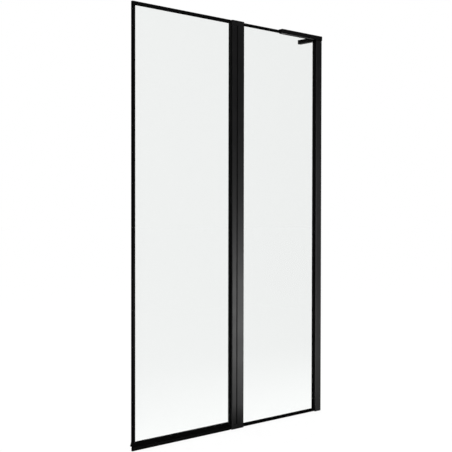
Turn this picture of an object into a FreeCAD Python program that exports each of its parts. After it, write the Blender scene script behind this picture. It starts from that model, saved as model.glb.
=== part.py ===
import FreeCAD, Part
import math
import os
import types
import Sketcher

# Bath screen with two panes of clear glass: one fixed to the wall, one that swings in over the bath.
# The wall is the plane x = 0 and the screen runs to -x. The room is at -y and the bath at +y.
# The glass stands in the plane y = 0, and the rim of the bath is z = 0. Every length is in millimetres.

SIZES = {
    # the whole screen
    "screen_width": 870.0,
    "fixed_height": 1396.0,
    "swing_rise": 2.0,
    "profile_depth": 23.0,
    "edge_round": 3.5,
    "edge_break": 0.6,
    # glass, gaskets and the slim trims
    "glass_thick": 5.0,
    "gasket_thick": 0.5,
    "trim_wall": 1.0,
    "trim_face": 11.0,
    "free_face": 10.0,
    "edge_gap": 1.5,
    "block_length": 45.0,
    # channel on the wall and the stile that slides in it
    "wall_width": 30.6,
    "profile_wall": 2.0,
    "mouth_lip": 3.0,
    "mouth_width": 14.0,
    "slide_clear": 0.3,
    "screw_room": 8.0,
    "wall_lip_reach": 6.4,
    "wall_bite": 9.0,
    "wall_hole_radius": 2.6,
    "wall_hole_end": 91.7,
    "wall_cap_thick": 1.2,
    # hinge
    "hinge_distance": 442.5,
    "pivot_back": 4.5,
    "stile_lead": 8.4,
    "stile_width": 20.9,
    "stile_lip_reach": 5.6,
    "hinge_clear": 1.5,
    "post_width": 30.1,
    "post_bite": 9.0,
    "cap_rise": 1.5,
    "top_cap_height": 18.0,
    "bottom_cap_height": 14.6,
    "cap_flange": 2.5,
    "tongue_length": 14.0,
    "tongue_clear": 0.15,
    "port_width": 7.0,
    "pivot_gap": 1.0,
    "swing_clear": 0.8,
    "pin_radius": 3.0,
    "pin_reach": 22.0,
    "pin_seat": 11.0,
    "bush_wall": 1.5,
    "running_clear": 0.05,
    "washer_radius": 6.0,
    "plug_flange": 2.0,
    "plug_length": 26.0,
    "seal_base": 1.6,
    "seal_width": 5.0,
    "seal_edge": 1.5,
    "seal_fin": 1.2,
    "seal_clear": 0.5,
    # screws
    "screw_radius": 2.0,
    "screw_clear": 0.2,
    "pan_radius": 3.6,
    "pan_height": 2.2,
    "flat_radius": 3.6,
    "flat_height": 1.6,
    "screw_length": 16.0,
    "cover_wall": 0.8,
    "cover_clear": 0.3,
    # stabiliser over the fixed pane
    "rail_length": 213.0,
    "rail_height": 15.4,
    "rail_drop": 11.4,
    "rail_proud": 2.0,
    "rail_back": 1.5,
    "liner_thick": 0.3,
    "grub_radius": 2.0,
    "grub_sink": 0.4,
    "leg_width": 15.4,
    "leg_length": 93.7,
    "leg_hole_pitch": 45.0,
    "leg_bore_radius": 5.0,
    "leg_bore_depth": 6.0,
    "corner_screw_radius": 2.5,
    "corner_head_radius": 4.2,
    "corner_head_height": 4.0,
    "corner_screw_length": 16.0,
    # seal under the swinging pane
    "carrier_lift": 10.5,
    "carrier_height": 16.0,
    "carrier_web": 3.0,
    "wiper_drop": 2.0,
    "wiper_wall": 1.0,
    "wiper_round": 2.4,
    "wiper_step": 1.6,
    "tee_neck": 2.0,
    "tee_head": 4.0,
    "tee_depth": 1.1,
    "tee_clear": 0.1,
    "drip_reach": 6.0,
    "drip_fall": 15.5,
    "drip_thick": 1.2,
}

# shares of a length, with no unit
screw_share = 0.1
block_share = 0.25
grub_share = 0.3


class Size:
    """A length that keeps its spreadsheet formula next to its value."""

    def __init__(self, formula, value):
        self.formula = formula
        self.value = value

    def joined(self, sign, other, value):
        return Size("(" + self.formula + sign + other.formula + ")", value)

    def __add__(self, other):
        return self.joined(" + ", other, self.value + other.value)

    def __sub__(self, other):
        return self.joined(" - ", other, self.value - other.value)

    def __mul__(self, times):
        return Size("(" + self.formula + " * " + str(times) + ")", self.value * times)

    def __truediv__(self, parts):
        return Size("(" + self.formula + " / " + str(parts) + ")", self.value / parts)

    def __neg__(self):
        return Size("(-1 * " + self.formula + ")", -self.value)


def diagonal(first, second):
    formula = "sqrt(" + first.formula + "^2 + " + second.formula + "^2)"
    return Size(formula, math.hypot(first.value, second.value))


doc = FreeCAD.newDocument("bath_screen")
sheet = doc.addObject("Spreadsheet::Sheet", "Sizes")
s = types.SimpleNamespace()
for row, name in enumerate(SIZES, start=1):
    sheet.set("A" + str(row), name)
    sheet.set("B" + str(row), str(SIZES[name]))
    sheet.setAlias("B" + str(row), name)
    setattr(s, name, Size("Sizes." + name, SIZES[name]))
doc.recompute()
zero = Size("0", 0.0)
finished = []


def new_body(label):
    body = doc.addObject("PartDesign::Body", label)
    body.Label = label
    body.AllowCompound = True
    finished.append(body)
    return body


def add_sketch(body, plane, offset):
    """A sketch on one of the body's own planes, moved along the plane's normal."""
    sketch = body.newObject("Sketcher::SketchObject", body.Label + "_sketch")
    for feature in body.Origin.OriginFeatures:
        if feature.Role == plane:
            sketch.AttachmentSupport = [(feature, "")]
    sketch.MapMode = "FlatFace"
    sketch.setExpression("AttachmentOffset.Base.z", offset.formula)
    return sketch


def pin_down(sketch, geometry, point, x, y):
    for kind, size in (("DistanceX", x), ("DistanceY", y)):
        rule = Sketcher.Constraint(kind, -1, 1, geometry, point, size.value)
        number = sketch.addConstraint(rule)
        sketch.setExpression("Constraints[" + str(number) + "]", size.formula)


def draw_outline(sketch, corners):
    first = sketch.GeometryCount
    count = len(corners)
    points = [FreeCAD.Vector(x.value, y.value, 0) for x, y in corners]
    for i in range(count):
        sketch.addGeometry(Part.LineSegment(points[i], points[(i + 1) % count]), False)
    for i in range(count):
        nxt = first + (i + 1) % count
        sketch.addConstraint(Sketcher.Constraint("Coincident", first + i, 2, nxt, 1))
    for i, corner in enumerate(corners):
        pin_down(sketch, first + i, 1, corner[0], corner[1])


def draw_circle(sketch, x, y, radius):
    centre = FreeCAD.Vector(x.value, y.value, 0)
    circle = Part.Circle(centre, FreeCAD.Vector(0, 0, 1), radius.value)
    number = sketch.addGeometry(circle, False)
    pin_down(sketch, number, 3, x, y)
    rule = sketch.addConstraint(Sketcher.Constraint("Radius", number, radius.value))
    sketch.setExpression("Constraints[" + str(rule) + "]", radius.formula)


def extrude(body, plane, start, end, outlines=(), circles=(), cut=False):
    """Outlines and circles drawn on a plane and carried from start to end along its axis."""
    offset = -end if plane == "XZ_Plane" else start
    sketch = add_sketch(body, plane, offset)
    for corners in outlines:
        draw_outline(sketch, corners)
    for x, y, radius in circles:
        draw_circle(sketch, x, y, radius)
    doc.recompute()
    kind = "PartDesign::Pocket" if cut else "PartDesign::Pad"
    feature = body.newObject(kind, body.Label + "_extrude")
    feature.Profile = sketch
    feature.Reversed = cut
    feature.setExpression("Length", (end - start).formula)
    doc.recompute()
    return feature


def turn(body, axis, centre, profile, cut=False):
    """A half profile of (along, radius) points turned about an axis parallel to x, y or z."""
    across, up = centre
    if axis == "Z":
        sketch = add_sketch(body, "XZ_Plane", -up)
        corners = [(across + radius, along) for along, radius in profile]
        ends = [(across, profile[0][0]), (across, profile[-1][0])]
    elif axis == "Y":
        sketch = add_sketch(body, "XY_Plane", up)
        corners = [(across + radius, along) for along, radius in profile]
        ends = [(across, profile[0][0]), (across, profile[-1][0])]
    else:
        sketch = add_sketch(body, "XZ_Plane", -across)
        corners = [(along, up + radius) for along, radius in profile]
        ends = [(profile[0][0], up), (profile[-1][0], up)]
    draw_outline(sketch, corners)
    points = [FreeCAD.Vector(x.value, y.value, 0) for x, y in ends]
    line = sketch.addGeometry(Part.LineSegment(points[0], points[1]), True)
    pin_down(sketch, line, 1, ends[0][0], ends[0][1])
    pin_down(sketch, line, 2, ends[1][0], ends[1][1])
    doc.recompute()
    kind = "PartDesign::Groove" if cut else "PartDesign::Revolution"
    feature = body.newObject(kind, body.Label + "_turn")
    feature.Profile = sketch
    feature.ReferenceAxis = (sketch, ["Axis0"])
    feature.Angle = 360.0
    doc.recompute()
    return feature


def repeat(body, feature, axis, pitch_total, count):
    """Evenly spaced copies of a feature along one of the body's own axes."""
    pattern = body.newObject("PartDesign::LinearPattern", body.Label + "_pattern")
    pattern.Originals = [feature]
    for origin_axis in body.Origin.OriginFeatures:
        if origin_axis.Role == axis:
            pattern.Direction = (origin_axis, [""])
    pattern.Occurrences = count
    pattern.setExpression("Length", pitch_total.formula)
    body.Tip = pattern
    doc.recompute()


def edges_at(shape, spots):
    """Names of the edges whose middle lies at one of the spots; None leaves a direction free."""
    names = []
    for number, edge in enumerate(shape.Edges, start=1):
        middle = edge.CenterOfMass
        for spot in spots:
            pairs = zip(middle, spot)
            if all(want is None or abs(have - want.value) < 0.001 for have, want in pairs):
                names.append("Edge" + str(number))
    return names


def round_edges(body, radius, spots):
    base = body.Tip
    fillet = body.newObject("PartDesign::Fillet", body.Label + "_round")
    fillet.Base = (base, edges_at(base.Shape, spots))
    fillet.setExpression("Radius", radius.formula)
    doc.recompute()


def break_edges(body, size, spots):
    base = body.Tip
    chamfer = body.newObject("PartDesign::Chamfer", body.Label + "_chamfer")
    chamfer.Base = (base, edges_at(base.Shape, spots))
    chamfer.setExpression("Size", size.formula)
    doc.recompute()


def box(left, right, low, high):
    return [(left, low), (right, low), (right, high), (left, high)]


# lines that several pieces share
half_depth = s.profile_depth / 2
half_glass = s.glass_thick / 2
half_slot = half_glass + s.gasket_thick
half_trim = half_slot + s.trim_wall
fixed_top = s.fixed_height
swing_top = s.fixed_height + s.swing_rise
rail_low = s.fixed_height - s.rail_drop
rail_high = rail_low + s.rail_height
wall_top = rail_low - s.wall_cap_thick
free_edge = -s.screen_width
pivot_x = -s.hinge_distance
pivot_y = s.pivot_back
stile_right = pivot_x + s.stile_lead
stile_left = stile_right - s.stile_width
sweep = diagonal(s.stile_lead, half_depth - pivot_y)
post_left = pivot_x + sweep + s.hinge_clear
post_right = post_left + s.post_width
cap_corner = diagonal(pivot_x - stile_left - s.edge_round, half_depth - pivot_y - s.edge_round)
swing_right = pivot_x - cap_corner - s.edge_round - s.swing_clear
cap_top = fixed_top + s.cap_rise
top_cap_low = cap_top - s.top_cap_height
stile_low = s.bottom_cap_height + s.pivot_gap
stile_high = top_cap_low - s.pivot_gap
rail_front = -(half_depth + s.rail_proud)
slot_half = half_trim + s.liner_thick
rail_rear = slot_half + s.rail_back
carrier_top = s.carrier_lift + s.carrier_height
pane_low = s.carrier_lift + s.carrier_web
trim_seat = s.trim_wall + s.edge_gap

# Channel screwed to the wall: its lips turn in at the mouth to keep the stile in
wall_left = -s.wall_width
wall_inner = half_depth - s.profile_wall
mouth_half = s.mouth_width / 2
wall_profile = new_body("wall_profile")
channel = [
    (zero, -half_depth),
    (zero, half_depth),
    (wall_left, half_depth),
    (wall_left, mouth_half),
    (wall_left + s.mouth_lip, mouth_half),
    (wall_left + s.mouth_lip, wall_inner),
    (-s.profile_wall, wall_inner),
    (-s.profile_wall, -wall_inner),
    (wall_left + s.mouth_lip, -wall_inner),
    (wall_left + s.mouth_lip, -mouth_half),
    (wall_left, -mouth_half),
    (wall_left, -half_depth),
]
extrude(wall_profile, "XY_Plane", zero, wall_top, [channel])
front_edges = [(wall_left, -half_depth, None), (wall_left, half_depth, None)]
round_edges(wall_profile, s.edge_round, front_edges)
break_edges(wall_profile, s.edge_break, [(zero, -half_depth, None), (zero, half_depth, None)])
hole_span = wall_top - s.wall_hole_end * 2
wall_hole = [(zero, s.wall_hole_end, s.wall_hole_radius)]
holes = extrude(wall_profile, "YZ_Plane", -s.profile_wall, zero, circles=wall_hole, cut=True)
repeat(wall_profile, holes, "Z_Axis", hole_span, 4)
side_x = -(s.profile_wall + s.screw_room + s.screw_length / 2)
side_low = wall_top * screw_share
side_span = wall_top * (1 - 2 * screw_share)
clear_hole = [(side_x, side_low, s.screw_radius + s.screw_clear)]
side_holes = extrude(wall_profile, "XZ_Plane", wall_inner, half_depth, circles=clear_hole, cut=True)
repeat(wall_profile, side_holes, "Z_Axis", side_span, 3)

# Stile that slides in the channel to take up a wall out of plumb, and holds the fixed pane
stile_back = -(s.profile_wall + s.screw_room)
stile_mouth = wall_left + s.mouth_lip + s.slide_clear
lip_left = wall_left - s.wall_lip_reach
stile_half = wall_inner - s.slide_clear
slot_back = lip_left + s.wall_bite + s.gasket_thick
wall_stile = new_body("wall_stile")
stile_outline = [
    (stile_back, -stile_half),
    (stile_back, stile_half),
    (stile_mouth, stile_half),
    (stile_mouth, half_trim),
    (lip_left, half_trim),
    (lip_left, half_slot),
    (slot_back, half_slot),
    (slot_back, -half_slot),
    (lip_left, -half_slot),
    (lip_left, -half_trim),
    (stile_mouth, -half_trim),
    (stile_mouth, -stile_half),
]
stile_room = box(
    slot_back + s.profile_wall,
    stile_back - s.profile_wall,
    -(stile_half - s.profile_wall),
    stile_half - s.profile_wall,
)
extrude(wall_stile, "XY_Plane", zero, wall_top, [stile_outline, stile_room])
tapped_hole = [(side_x, side_low, s.screw_radius)]
tapped_low = stile_half - s.profile_wall
tapped = extrude(wall_stile, "XZ_Plane", tapped_low, stile_half, circles=tapped_hole, cut=True)
repeat(wall_stile, tapped, "Z_Axis", side_span, 3)

# Plate that closes the channel under the stabiliser, open where the pane passes through
wall_cap = new_body("wall_profile_cap")
plate = [
    (zero, -half_depth),
    (zero, half_depth),
    (wall_left, half_depth),
    (wall_left, half_trim),
    (slot_back, half_trim),
    (slot_back, -half_trim),
    (wall_left, -half_trim),
    (wall_left, -half_depth),
]
extrude(wall_cap, "XY_Plane", wall_top, rail_low, [plate])
round_edges(wall_cap, s.edge_round, front_edges)

# Pan head screws that lock the stile in the channel, on the bath side, and their push-on covers
profile_screws = new_body("profile_screws")
pan_screw = [
    (half_depth - s.screw_length / 2, zero),
    (half_depth - s.screw_length / 2, s.screw_radius),
    (half_depth, s.screw_radius),
    (half_depth, s.pan_radius),
    (half_depth + s.pan_height, s.pan_radius),
    (half_depth + s.pan_height, zero),
]
pan = turn(profile_screws, "Y", (side_x, side_low), pan_screw)
repeat(profile_screws, pan, "Z_Axis", side_span, 3)
screw_covers = new_body("profile_screw_covers")
cover_inside = s.pan_radius + s.cover_clear
cover_high = half_depth + s.pan_height + s.cover_clear
cup = [
    (half_depth, cover_inside),
    (half_depth, cover_inside + s.cover_wall),
    (cover_high + s.cover_wall, cover_inside + s.cover_wall),
    (cover_high + s.cover_wall, zero),
    (cover_high, zero),
    (cover_high, cover_inside),
]
cover = turn(screw_covers, "Y", (side_x, side_low), cup)
repeat(screw_covers, cover, "Z_Axis", side_span, 3)

# Fixed pane of toughened glass, its trims, gaskets and setting blocks
pane_right = lip_left + s.wall_bite
pane_left = post_right - s.post_bite
fixed_low = trim_seat + s.gasket_thick
fixed_high = fixed_top - trim_seat - s.gasket_thick
top_face = s.trim_face - s.swing_rise
fixed_glass = new_body("fixed_glass")
fixed_pane = box(pane_left, pane_right, fixed_low, fixed_high)
extrude(fixed_glass, "XZ_Plane", -half_glass, half_glass, [fixed_pane])


def trim_section(outer, inner, web):
    """A U channel across the glass: outer is the closed side, inner the open one."""
    return [
        (-half_trim, outer),
        (half_trim, outer),
        (half_trim, inner),
        (half_slot, inner),
        (half_slot, web),
        (-half_slot, web),
        (-half_slot, inner),
        (-half_trim, inner),
    ]


def gasket_section(outer, inner, seat):
    """A U strip that wraps the edge of the glass inside a trim or a slot."""
    return [
        (-half_slot, outer),
        (half_slot, outer),
        (half_slot, inner),
        (half_glass, inner),
        (half_glass, seat),
        (-half_glass, seat),
        (-half_glass, inner),
        (-half_slot, inner),
    ]


def turned_over(section):
    return [(along, across) for across, along in section]


fixed_top_trim = new_body("fixed_top_trim")
top_section = trim_section(fixed_top, fixed_top - top_face, fixed_top - s.trim_wall)
extrude(fixed_top_trim, "YZ_Plane", post_right, slot_back, [top_section])
fixed_bottom_trim = new_body("fixed_bottom_trim")
bottom_section = trim_section(zero, s.trim_face, s.trim_wall)
extrude(fixed_bottom_trim, "YZ_Plane", post_right, lip_left, [bottom_section])
setting_blocks = new_body("fixed_setting_blocks")
pane_span = lip_left - post_right
block_left = post_right + pane_span * block_share - s.block_length / 2
block_step = pane_span * (1 - 2 * block_share)
block_box = box(-half_slot, half_slot, s.trim_wall, trim_seat)
block = extrude(setting_blocks, "YZ_Plane", block_left, block_left + s.block_length, [block_box])
repeat(setting_blocks, block, "X_Axis", block_step, 2)
fixed_gaskets = new_body("fixed_glazing_gaskets")
top_gasket = gasket_section(fixed_high + s.gasket_thick, fixed_top - top_face, fixed_high)
gasket_start = post_right + s.slide_clear
extrude(fixed_gaskets, "YZ_Plane", gasket_start, pane_right, [top_gasket])
bottom_gasket = gasket_section(trim_seat, s.trim_face, fixed_low)
extrude(fixed_gaskets, "YZ_Plane", gasket_start, lip_left - s.slide_clear, [bottom_gasket])
wall_gasket = turned_over(gasket_section(slot_back, lip_left, pane_right))
extrude(fixed_gaskets, "XY_Plane", fixed_low, wall_top, [wall_gasket])
post_slot = post_right - s.post_bite - s.gasket_thick
post_gasket = turned_over(gasket_section(post_slot, post_right, pane_left))
extrude(fixed_gaskets, "XY_Plane", fixed_low, fixed_high, [post_gasket])

# Hinge post: a hollow profile with a glazing slot, a screw port and a slot for the gap seal
post_low = s.cap_flange
post_high = cap_top - s.cap_flange
room_left = post_left + s.seal_base + s.profile_wall
room_right = post_slot - s.profile_wall
room_half = half_depth - s.profile_wall
port_half = s.port_width / 2
port_x = room_right - port_half
port_left = port_x - port_half
seal_front = -half_depth + s.seal_edge
seal_rear = seal_front + s.seal_width
hinge_post = new_body("hinge_post")
post_outline = [
    (post_left, -half_depth),
    (post_right, -half_depth),
    (post_right, -half_slot),
    (post_slot, -half_slot),
    (post_slot, half_slot),
    (post_right, half_slot),
    (post_right, half_depth),
    (post_left, half_depth),
    (post_left, seal_rear),
    (post_left + s.seal_base, seal_rear),
    (post_left + s.seal_base, seal_front),
    (post_left, seal_front),
]
post_rooms = [
    [
        (room_left, -room_half),
        (room_right, -room_half),
        (room_right, -port_half),
        (port_left, -port_half),
        (port_left, port_half),
        (room_right, port_half),
        (room_right, room_half),
        (room_left, room_half),
    ],
    box(post_slot, post_right - s.profile_wall, half_slot + s.profile_wall, room_half),
    box(post_slot, post_right - s.profile_wall, -room_half, -half_slot - s.profile_wall),
]
extrude(hinge_post, "XY_Plane", post_low, post_high, [post_outline] + post_rooms)
port_hole = [(port_x, zero, s.screw_radius)]
extrude(hinge_post, "XY_Plane", post_low, post_high, circles=port_hole, cut=True)
post_right_edges = [(post_right, -half_depth, None), (post_right, half_depth, None)]
break_edges(hinge_post, s.edge_break, post_right_edges)

# Soft fin that closes the gap between the post and the swinging stile
gap_seal = new_body("hinge_gap_seal")
fin_tip = stile_right + s.seal_clear
seal_section = [
    (post_left + s.seal_base, seal_front),
    (post_left + s.seal_base, seal_rear),
    (post_left, seal_rear),
    (post_left, seal_front + s.seal_fin * 2),
    (fin_tip, seal_front + s.seal_fin),
    (fin_tip, seal_front),
    (post_left, seal_front + s.seal_fin / 2),
    (post_left, seal_front),
]
extrude(gap_seal, "XY_Plane", s.bottom_cap_height, top_cap_low, [seal_section])

# Cast caps that close the post above and below and carry the pivot pins over the stile
arm_outline = box(stile_left, post_left, -half_depth, half_depth)
flange_outline = box(post_left, post_right, -half_depth, half_depth)
tongue_left = room_left + s.tongue_clear
tongue_right = room_right - s.tongue_clear
tongue_near = port_half + s.tongue_clear
tongue_far = room_half - s.tongue_clear
tongues = [
    box(tongue_left, tongue_right, tongue_near, tongue_far),
    box(tongue_left, tongue_right, -tongue_far, -tongue_near),
]
arm_edges = [(stile_left, -half_depth, None), (stile_left, half_depth, None)]
pin_hole = [(pivot_x, pivot_y, s.pin_radius)]
top_cap = new_body("hinge_top_cap")
extrude(top_cap, "XY_Plane", top_cap_low, cap_top, [arm_outline])
round_edges(top_cap, s.edge_round, arm_edges)
extrude(top_cap, "XY_Plane", post_high, cap_top, [flange_outline])
extrude(top_cap, "XY_Plane", post_high - s.tongue_length, post_high, tongues)
extrude(top_cap, "XY_Plane", top_cap_low, top_cap_low + s.pin_seat, circles=pin_hole, cut=True)
top_sink = [
    (post_high, zero),
    (post_high, s.screw_radius),
    (cap_top - s.flat_height, s.screw_radius),
    (cap_top, s.flat_radius),
    (cap_top, zero),
]
turn(top_cap, "Z", (port_x, zero), top_sink, cut=True)
bottom_cap = new_body("hinge_bottom_cap")
extrude(bottom_cap, "XY_Plane", zero, s.bottom_cap_height, [arm_outline])
round_edges(bottom_cap, s.edge_round, arm_edges)
extrude(bottom_cap, "XY_Plane", zero, post_low, [flange_outline])
extrude(bottom_cap, "XY_Plane", post_low, post_low + s.tongue_length, tongues)
seat_low = s.bottom_cap_height - s.pin_seat
extrude(bottom_cap, "XY_Plane", seat_low, s.bottom_cap_height, circles=pin_hole, cut=True)
bottom_sink = [
    (zero, zero),
    (zero, s.flat_radius),
    (s.flat_height, s.screw_radius),
    (post_low, s.screw_radius),
    (post_low, zero),
]
turn(bottom_cap, "Z", (port_x, zero), bottom_sink, cut=True)
cap_screws = new_body("hinge_cap_screws")
top_screw = [
    (cap_top - s.screw_length, zero),
    (cap_top - s.screw_length, s.screw_radius),
    (cap_top - s.flat_height, s.screw_radius),
    (cap_top, s.flat_radius),
    (cap_top, zero),
]
turn(cap_screws, "Z", (port_x, zero), top_screw)
bottom_screw = [
    (zero, zero),
    (zero, s.flat_radius),
    (s.flat_height, s.screw_radius),
    (s.screw_length, s.screw_radius),
    (s.screw_length, zero),
]
turn(cap_screws, "Z", (port_x, zero), bottom_screw)

# Steel pivot pins pressed in the caps, and the washer that carries the swinging pane
pin_top = new_body("pivot_pin_top")
pin_point = stile_high - s.pin_reach
top_pin = [
    (pin_point, zero),
    (pin_point, s.pin_radius),
    (top_cap_low + s.pin_seat, s.pin_radius),
    (top_cap_low + s.pin_seat, zero),
]
turn(pin_top, "Z", (pivot_x, pivot_y), top_pin)
pin_bottom = new_body("pivot_pin_bottom")
pin_end = stile_low + s.pin_reach
bottom_pin = [
    (seat_low, zero),
    (seat_low, s.pin_radius),
    (pin_end, s.pin_radius),
    (pin_end, zero),
]
turn(pin_bottom, "Z", (pivot_x, pivot_y), bottom_pin)
washer = new_body("thrust_washer")
bore_radius = s.pin_radius + s.running_clear
washer_rings = [
    (pivot_x, pivot_y, s.washer_radius),
    (pivot_x, pivot_y, bore_radius),
]
extrude(washer, "XY_Plane", s.bottom_cap_height, stile_low, circles=washer_rings)

# Stile of the swinging pane: a hollow profile with a slim glazing lip on its far side
lip_far = stile_left - s.stile_lip_reach
stile_slot = swing_right + s.gasket_thick
body_low = stile_low + s.plug_flange
body_high = stile_high - s.plug_flange
hinge_stile = new_body("hinge_stile")
swing_outline = [
    (stile_right, -half_depth),
    (stile_right, half_depth),
    (stile_left, half_depth),
    (stile_left, half_trim),
    (lip_far, half_trim),
    (lip_far, half_slot),
    (stile_slot, half_slot),
    (stile_slot, -half_slot),
    (lip_far, -half_slot),
    (lip_far, -half_trim),
    (stile_left, -half_trim),
    (stile_left, -half_depth),
]
chamber_left = stile_left + s.profile_wall
chamber_right = stile_right - s.profile_wall
chamber = box(chamber_left, chamber_right, -room_half, room_half)
extrude(hinge_stile, "XY_Plane", body_low, body_high, [swing_outline, chamber])
round_edges(hinge_stile, s.edge_round, arm_edges)
stile_edges = [(stile_right, -half_depth, None), (stile_right, half_depth, None)]
break_edges(hinge_stile, s.edge_break, stile_edges)
lip_notch = box(lip_far, stile_left, body_low, carrier_top)
extrude(hinge_stile, "XZ_Plane", -half_trim, half_trim, [lip_notch], cut=True)

# Cheeks of the lip run on past the stile's top up to the top trim, clear of the cap as the pane turns
inner_z = swing_top - s.trim_face
front_cheek = box(lip_far, swing_right, -half_trim, -half_slot)
rear_cheek = box(lip_far, swing_right, half_slot, half_trim)
for cheek in (front_cheek, rear_cheek):
    extrude(hinge_stile, "XY_Plane", body_high, inner_z, [cheek])

# End plugs of the stile, their flat head screws and the plastic bushes that run on the pins
plug_outline = box(stile_left, stile_right, -half_depth, half_depth)
plug_tongue = box(
    chamber_left + s.tongue_clear,
    chamber_right - s.tongue_clear,
    s.tongue_clear - room_half,
    room_half - s.tongue_clear,
)
bush_radius = bore_radius + s.bush_wall
bush_hole = [(pivot_x, pivot_y, bush_radius)]
plug_screw_y = -half_depth / 2
plug_grip = stile_right - s.screw_length / 2
flat_screw = [
    (plug_grip, zero),
    (plug_grip, s.screw_radius),
    (stile_right - s.flat_height, s.screw_radius),
    (stile_right, s.flat_radius),
    (stile_right, zero),
]


def end_plug(label, flange_low, flange_high, tongue_low, tongue_high, screw_z):
    """A plug with a flange over the end of the stile, bored for the bush and the screw."""
    plug = new_body(label)
    extrude(plug, "XY_Plane", flange_low, flange_high, [plug_outline])
    round_edges(plug, s.edge_round, arm_edges)
    extrude(plug, "XY_Plane", tongue_low, tongue_high, [plug_tongue])
    low = flange_low if flange_low.value < tongue_low.value else tongue_low
    high = flange_high if flange_high.value > tongue_high.value else tongue_high
    extrude(plug, "XY_Plane", low, high, circles=bush_hole, cut=True)
    turn(plug, "X", (plug_screw_y, screw_z), flat_screw, cut=True)
    turn(hinge_stile, "X", (plug_screw_y, screw_z), flat_screw, cut=True)


top_screw_z = body_high - s.plug_length / 2
bottom_screw_z = body_low + s.plug_length / 2
end_plug("stile_top_plug", body_high, stile_high, body_high - s.plug_length, body_high, top_screw_z)
end_plug("stile_bottom_plug", stile_low, body_low, body_low, body_low + s.plug_length, bottom_screw_z)
plug_screws = new_body("stile_plug_screws")
turn(plug_screws, "X", (plug_screw_y, top_screw_z), flat_screw)
turn(plug_screws, "X", (plug_screw_y, bottom_screw_z), flat_screw)
bush_rings = [
    (pivot_x, pivot_y, bush_radius),
    (pivot_x, pivot_y, bore_radius),
]
bush_top = new_body("pivot_bush_top")
extrude(bush_top, "XY_Plane", body_high - s.plug_length, stile_high, circles=bush_rings)
bush_bottom = new_body("pivot_bush_bottom")
extrude(bush_bottom, "XY_Plane", stile_low, body_low + s.plug_length, circles=bush_rings)

# Swinging pane, its mitred top and free edge trims and its gaskets
swing_left = free_edge + trim_seat + s.gasket_thick
swing_high = swing_top - trim_seat - s.gasket_thick
inner_x = free_edge + s.free_face
swing_glass = new_body("swing_glass")
swing_pane = box(swing_left, swing_right, pane_low, swing_high)
extrude(swing_glass, "XZ_Plane", -half_glass, half_glass, [swing_pane])
swing_top_trim = new_body("swing_top_trim")
top_face_outline = [
    (free_edge, swing_top),
    (inner_x, inner_z),
    (swing_right, inner_z),
    (swing_right, swing_top),
]
extrude(swing_top_trim, "XZ_Plane", -half_trim, half_trim, [top_face_outline])
top_slot = box(-half_slot, half_slot, inner_z, swing_top - s.trim_wall)
extrude(swing_top_trim, "YZ_Plane", free_edge, swing_right, [top_slot], cut=True)
free_trim = new_body("free_edge_trim")
free_face_outline = [
    (free_edge, carrier_top),
    (inner_x, carrier_top),
    (inner_x, inner_z),
    (free_edge, swing_top),
]
extrude(free_trim, "XZ_Plane", -half_trim, half_trim, [free_face_outline])
free_slot = box(free_edge + s.trim_wall, inner_x, -half_slot, half_slot)
extrude(free_trim, "XY_Plane", carrier_top, swing_top, [free_slot], cut=True)
swing_gaskets = new_body("swing_glazing_gaskets")
gasket_left = swing_left - s.gasket_thick
swing_top_gasket = gasket_section(swing_high + s.gasket_thick, inner_z, swing_high)
extrude(swing_gaskets, "YZ_Plane", gasket_left, swing_right, [swing_top_gasket])
free_gasket = turned_over(gasket_section(gasket_left, inner_x, swing_left))
extrude(swing_gaskets, "XY_Plane", carrier_top, inner_z - s.slide_clear, [free_gasket])
hinge_gasket = turned_over(gasket_section(stile_slot, lip_far, swing_right))
extrude(swing_gaskets, "XY_Plane", carrier_top, body_high, [hinge_gasket])

# Clip-on seal carrier under the swinging pane, with a sloping drip lip on the bath side
tee_low = s.carrier_lift
neck_half = s.tee_neck / 2
head_half = s.tee_head / 2
head_low = tee_low + s.tee_depth
head_high = head_low + s.tee_depth
drip_y = half_trim + s.drip_reach
drip_z = carrier_top - s.drip_fall
carrier = new_body("seal_carrier")
carrier_section = [
    (-half_trim, tee_low),
    (-neck_half, tee_low),
    (-neck_half, head_low),
    (-head_half, head_low),
    (-head_half, head_high),
    (head_half, head_high),
    (head_half, head_low),
    (neck_half, head_low),
    (neck_half, tee_low),
    (half_trim, tee_low),
    (half_trim, carrier_top - s.drip_thick * 2),
    (drip_y - s.drip_thick, drip_z),
    (drip_y, drip_z),
    (half_trim, carrier_top),
    (half_glass, carrier_top),
    (half_glass, pane_low),
    (-half_glass, pane_low),
    (-half_glass, carrier_top),
    (-half_trim, carrier_top),
]
extrude(carrier, "YZ_Plane", free_edge, swing_right, [carrier_section])
end_plug_body = new_body("seal_end_plug")
plug_box = box(-half_glass, half_glass, pane_low, carrier_top)
extrude(end_plug_body, "YZ_Plane", free_edge, swing_left, [plug_box])

# Soft hollow wiper that hangs in the carrier's groove and presses on the rim of the bath
wiper = new_body("wiper_blade")
wiper_front = -half_trim
wiper_rear = half_trim - s.wiper_step
wiper_section = [
    (wiper_front, tee_low),
    (wiper_front, -s.wiper_drop),
    (wiper_rear, -s.wiper_drop),
    (wiper_rear, tee_low),
    (neck_half - s.tee_clear, tee_low),
    (neck_half - s.tee_clear, head_low + s.tee_clear),
    (head_half - s.tee_clear, head_low + s.tee_clear),
    (head_half - s.tee_clear, head_high - s.tee_clear),
    (s.tee_clear - head_half, head_high - s.tee_clear),
    (s.tee_clear - head_half, head_low + s.tee_clear),
    (s.tee_clear - neck_half, head_low + s.tee_clear),
    (s.tee_clear - neck_half, tee_low),
]
extrude(wiper, "YZ_Plane", free_edge, swing_right, [wiper_section])
wiper_edges = [(None, wiper_front, -s.wiper_drop), (None, wiper_rear, -s.wiper_drop)]
round_edges(wiper, s.wiper_round, wiper_edges)
bulb_low = s.wiper_round - s.wiper_drop
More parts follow.
